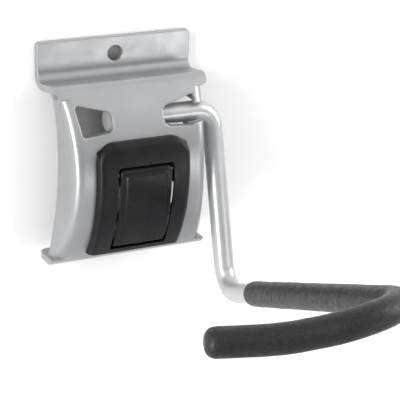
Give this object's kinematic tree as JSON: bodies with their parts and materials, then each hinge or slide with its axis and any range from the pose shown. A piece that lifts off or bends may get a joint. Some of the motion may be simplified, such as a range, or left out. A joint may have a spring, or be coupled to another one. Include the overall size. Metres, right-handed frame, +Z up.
{
  "type": "bicycle wall rack",
  "caption": "Steel wall hook for a bicycle: pressed slat-panel plate with a lever lock, and a bent rod hook in a foam sleeve.",
  "frame": {"origin": "centre of the screw hole on the back (wall) face of the top flange", "axes": "+X right seen from the room, +Y into the wall, +Z up"},
  "size_m": [0.107, 0.2283, 0.123],
  "materials": {
    "satin_steel": "satin silver coat",
    "rod_steel": "satin silver coat, slightly brighter",
    "weld_steel": "coated weld",
    "foam": "fine-grained charcoal foam",
    "black_plastic": "satin moulded",
    "lever_plastic": "satin moulded",
    "cap_plastic": "moulded",
    "plain_steel": "zinc plated"
  },
  "bodies": {
    "bracket": {"wall_plate": "satin_steel", "hook_rod": "rod_steel", "rod_weld_upper": "weld_steel", "rod_weld_lower": "weld_steel", "foam_sleeve": "foam", "rod_end_cap": "cap_plastic", "latch_bezel": "black_plastic", "bezel_push_nuts": "plain_steel", "lever_pin": "plain_steel", "strap_guide": "plain_steel"},
    "lever": {"latch_lever": "lever_plastic"},
    "strap": {"lock_strap": "plain_steel", "strap_cross_pin": "plain_steel"}
  },
  "joints": [
    {"name": "lever_hinge", "type": "hinge", "parent": "bracket", "child": "lever", "pos_m": [0, -0.03629, -0.0471], "axis": [-1, 0, 0], "range_deg": [0, 55]},
    {"name": "strap_slide", "type": "slide", "parent": "bracket", "child": "strap", "axis": [0, 0, -1], "range_m": [0, 0.00875]}
  ],
  "couplings": [
    {"joint": "strap_slide", "follows": "lever_hinge", "m_per_rad": 0.009111}
  ]
}
